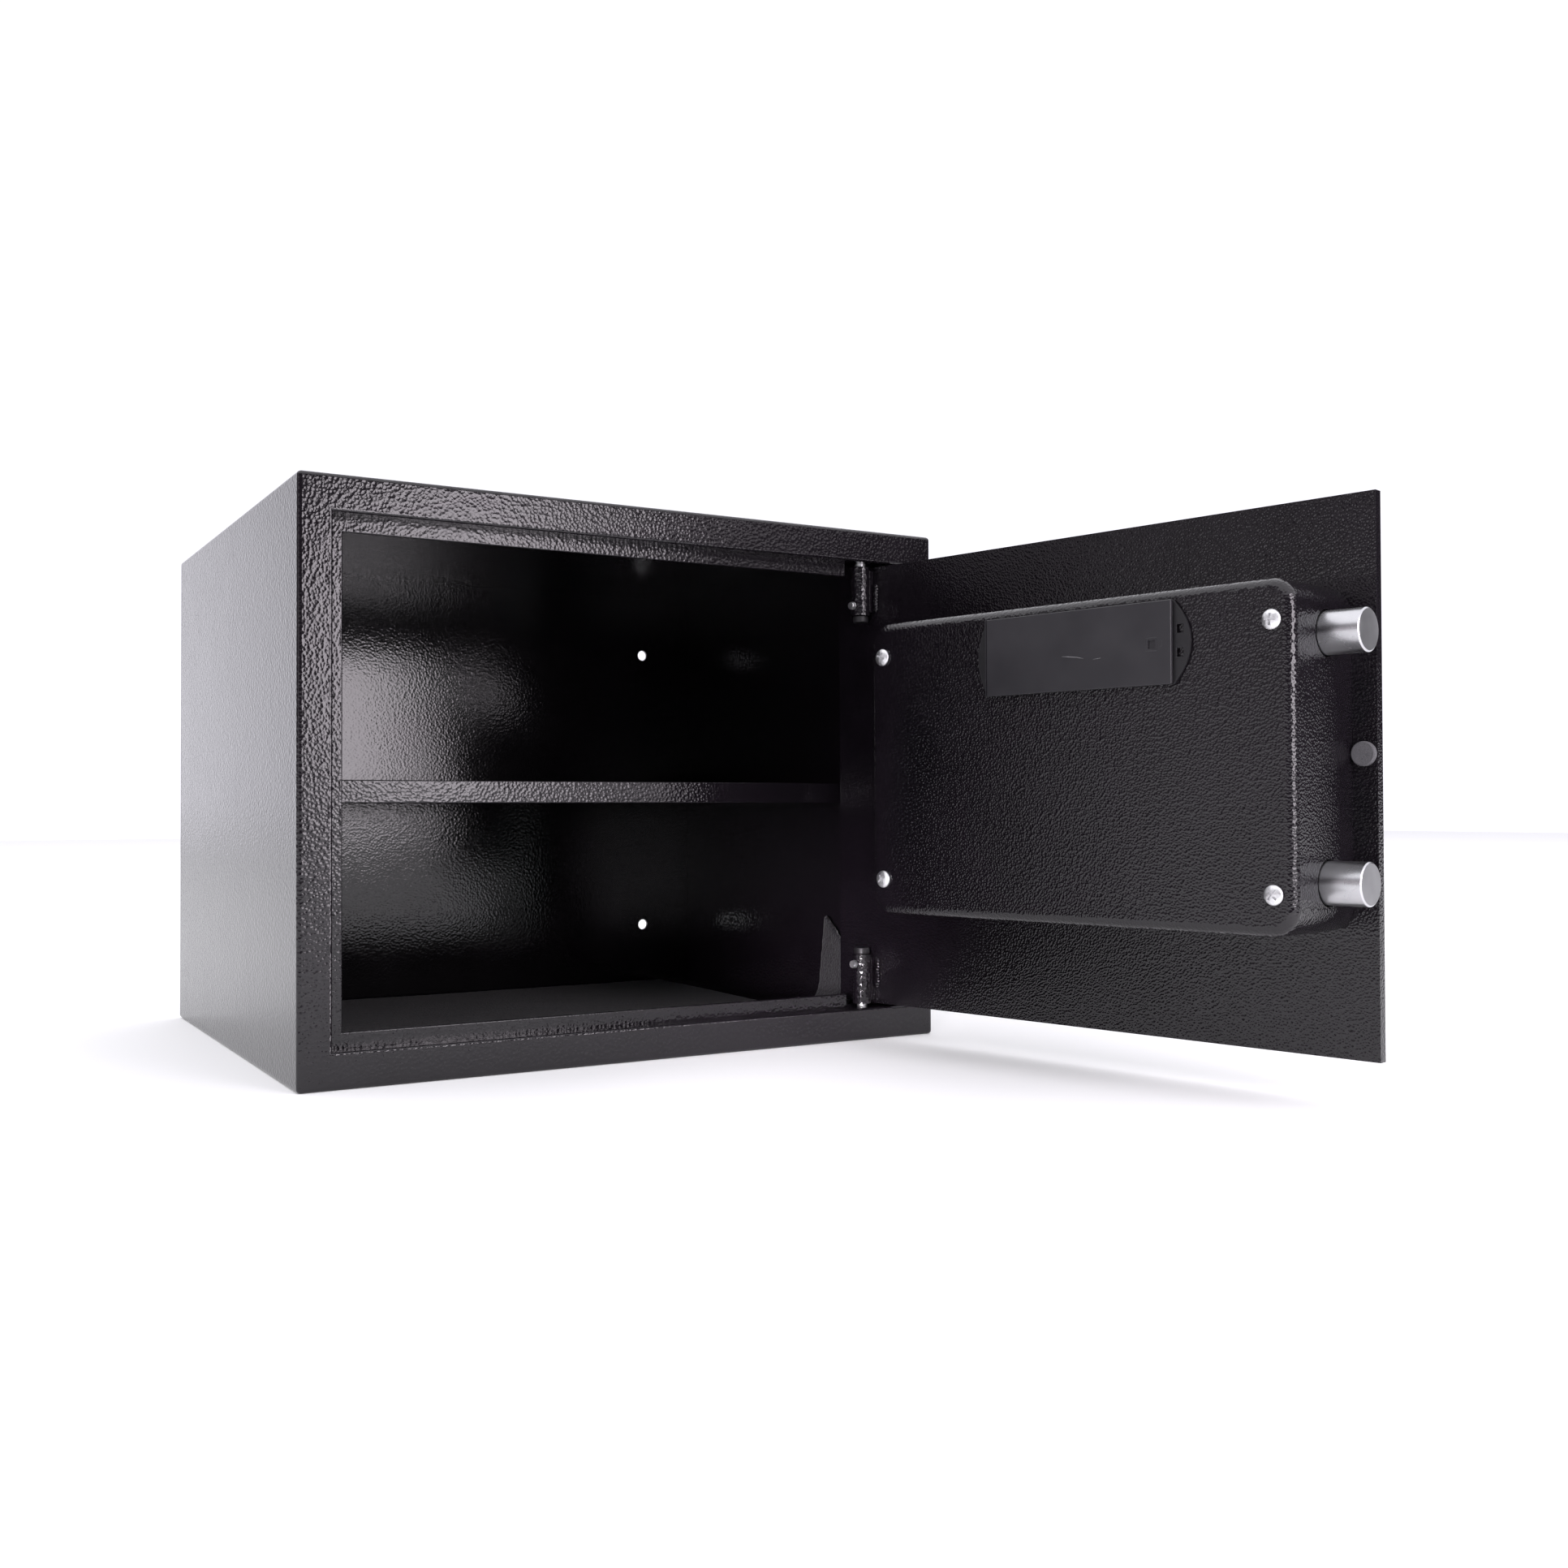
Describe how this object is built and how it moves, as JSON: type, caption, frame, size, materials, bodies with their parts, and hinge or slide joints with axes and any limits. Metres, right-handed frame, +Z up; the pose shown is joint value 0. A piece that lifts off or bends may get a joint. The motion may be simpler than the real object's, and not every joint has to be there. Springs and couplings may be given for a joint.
{
  "type": "wall safe",
  "caption": "Compact black steel safe with a right-hinged door standing open, thrown lock bolts, battery cover on the door's inner side, shelf and felt mat.",
  "frame": {"origin": "centre of the cabinet's underside (the open door isn't counted)", "axes": "+Z up, the door opening faces -Y, the back panel faces +Y, hinges on the +X side"},
  "size_m": [0.4155, 0.6267, 0.3],
  "materials": {
    "cabinet_coat": "black powder coat, pebbled and half glossy",
    "black_coat": "black powder coat, pebbled and half glossy",
    "satin_steel": "satin nickel plate",
    "zinc_steel": "bright zinc plate",
    "raw_steel": "plain",
    "brass": "turned",
    "felt": "needle felt",
    "pad": "foam, matt",
    "dark_plastic": "satin",
    "lid_plastic": "smooth, lightly scratched",
    "key_rubber": "matt",
    "cell_wrap": "printed film",
    "board": "solder mask"
  },
  "bodies": {
    "cabinet": {"cabinet_shell": "cabinet_coat", "back_panel": "black_coat", "door_stop_frame": "black_coat", "pivot_lug_lower": "black_coat", "pivot_lug_upper": "black_coat", "shelf": "black_coat", "shelf_rest_left": "black_coat", "shelf_rest_right": "black_coat", "floor_mat": "felt"},
    "door": {"door_plate": "black_coat", "hinge_barrel_lower": "black_coat", "hinge_pin_lower": "zinc_steel", "hinge_screw_lower": "zinc_steel", "hinge_cap_lower": "dark_plastic", "hinge_barrel_upper": "black_coat", "hinge_pin_upper": "zinc_steel", "hinge_screw_upper": "zinc_steel", "hinge_cap_upper": "dark_plastic", "door_bumper": "pad", "lock_cover": "black_coat", "cover_bracket_left": "raw_steel", "cover_bracket_right": "raw_steel", "cover_screw_1": "zinc_steel", "cover_screw_2": "zinc_steel", "cover_screw_3": "zinc_steel", "cover_screw_4": "zinc_steel", "battery_tray": "dark_plastic", "battery_1": "cell_wrap", "battery_2": "cell_wrap", "battery_3": "cell_wrap", "battery_4": "cell_wrap", "bolt_guide": "raw_steel", "solenoid_body": "raw_steel", "circuit_board": "board", "keypad_housing": "dark_plastic", "key_cylinder": "satin_steel"},
    "bolts": {"bolt_bar": "raw_steel", "bolt_lower": "satin_steel", "bolt_upper": "satin_steel"},
    "knob": {"knob": "dark_plastic", "knob_spindle": "raw_steel"},
    "plunger": {"solenoid_plunger": "satin_steel"},
    "battery_lid": {"battery_cover": "lid_plastic"},
    "override_cap": {"override_cap": "dark_plastic"},
    "key_plug": {"key_plug": "brass"},
    "key_1": {"key_1": "key_rubber"},
    "key_2": {"key_2": "key_rubber"},
    "key_3": {"key_3": "key_rubber"},
    "key_4": {"key_4": "key_rubber"},
    "key_5": {"key_5": "key_rubber"},
    "key_6": {"key_6": "key_rubber"},
    "key_7": {"key_7": "key_rubber"},
    "key_8": {"key_8": "key_rubber"},
    "key_9": {"key_9": "key_rubber"},
    "key_star": {"key_star": "key_rubber"},
    "key_0": {"key_0": "key_rubber"},
    "key_hash": {"key_hash": "key_rubber"}
  },
  "joints": [
    {"name": "door_hinge", "type": "hinge", "parent": "cabinet", "child": "door", "pos_m": [0.1447, -0.148, 0.15], "axis": [0, 0, 1], "range_deg": [-103.2, 20]},
    {"name": "bolt_slide", "type": "slide", "parent": "door", "child": "bolts", "axis": [-0.2284, 0.9736, 0], "range_m": [0, 0.017]},
    {"name": "knob_turn", "type": "hinge", "parent": "door", "child": "knob", "pos_m": [0.18086, -0.24963, 0.15775], "axis": [-0.9736, -0.2284, 0], "range_deg": [0, 75]},
    {"name": "plunger_slide", "type": "slide", "parent": "door", "child": "plunger", "axis": [0, 0, 1], "range_m": [0, 0.005]},
    {"name": "battery_lid_lift", "type": "slide", "parent": "door", "child": "battery_lid", "axis": [-0.9736, -0.2284, 0], "range_m": [0, 0.03]},
    {"name": "override_cap_pull", "type": "slide", "parent": "door", "child": "override_cap", "axis": [0.9736, 0.2284, 0], "range_m": [0, 0.02]},
    {"name": "key_plug_turn", "type": "hinge", "parent": "door", "child": "key_plug", "pos_m": [0.18086, -0.24963, 0.20975], "axis": [-0.9736, -0.2284, 0], "range_deg": [0, 90]},
    {"name": "key_1_press", "type": "slide", "parent": "door", "child": "key_1", "axis": [-0.9736, -0.2284, 0], "range_m": [0, 0.0015], "stiffness_N_per_m": 300, "springref_m": -0.0002},
    {"name": "key_2_press", "type": "slide", "parent": "door", "child": "key_2", "axis": [-0.9736, -0.2284, 0], "range_m": [0, 0.0015], "stiffness_N_per_m": 300, "springref_m": -0.0002},
    {"name": "key_3_press", "type": "slide", "parent": "door", "child": "key_3", "axis": [-0.9736, -0.2284, 0], "range_m": [0, 0.0015], "stiffness_N_per_m": 300, "springref_m": -0.0002},
    {"name": "key_4_press", "type": "slide", "parent": "door", "child": "key_4", "axis": [-0.9736, -0.2284, 0], "range_m": [0, 0.0015], "stiffness_N_per_m": 300, "springref_m": -0.0002},
    {"name": "key_5_press", "type": "slide", "parent": "door", "child": "key_5", "axis": [-0.9736, -0.2284, 0], "range_m": [0, 0.0015], "stiffness_N_per_m": 300, "springref_m": -0.0002},
    {"name": "key_6_press", "type": "slide", "parent": "door", "child": "key_6", "axis": [-0.9736, -0.2284, 0], "range_m": [0, 0.0015], "stiffness_N_per_m": 300, "springref_m": -0.0002},
    {"name": "key_7_press", "type": "slide", "parent": "door", "child": "key_7", "axis": [-0.9736, -0.2284, 0], "range_m": [0, 0.0015], "stiffness_N_per_m": 300, "springref_m": -0.0002},
    {"name": "key_8_press", "type": "slide", "parent": "door", "child": "key_8", "axis": [-0.9736, -0.2284, 0], "range_m": [0, 0.0015], "stiffness_N_per_m": 300, "springref_m": -0.0002},
    {"name": "key_9_press", "type": "slide", "parent": "door", "child": "key_9", "axis": [-0.9736, -0.2284, 0], "range_m": [0, 0.0015], "stiffness_N_per_m": 300, "springref_m": -0.0002},
    {"name": "key_star_press", "type": "slide", "parent": "door", "child": "key_star", "axis": [-0.9736, -0.2284, 0], "range_m": [0, 0.0015], "stiffness_N_per_m": 300, "springref_m": -0.0002},
    {"name": "key_0_press", "type": "slide", "parent": "door", "child": "key_0", "axis": [-0.9736, -0.2284, 0], "range_m": [0, 0.0015], "stiffness_N_per_m": 300, "springref_m": -0.0002},
    {"name": "key_hash_press", "type": "slide", "parent": "door", "child": "key_hash", "axis": [-0.9736, -0.2284, 0], "range_m": [0, 0.0015], "stiffness_N_per_m": 300, "springref_m": -0.0002}
  ],
  "couplings": [
    {"joint": "knob_turn", "follows": "bolt_slide", "rad_per_m": 76.99}
  ]
}
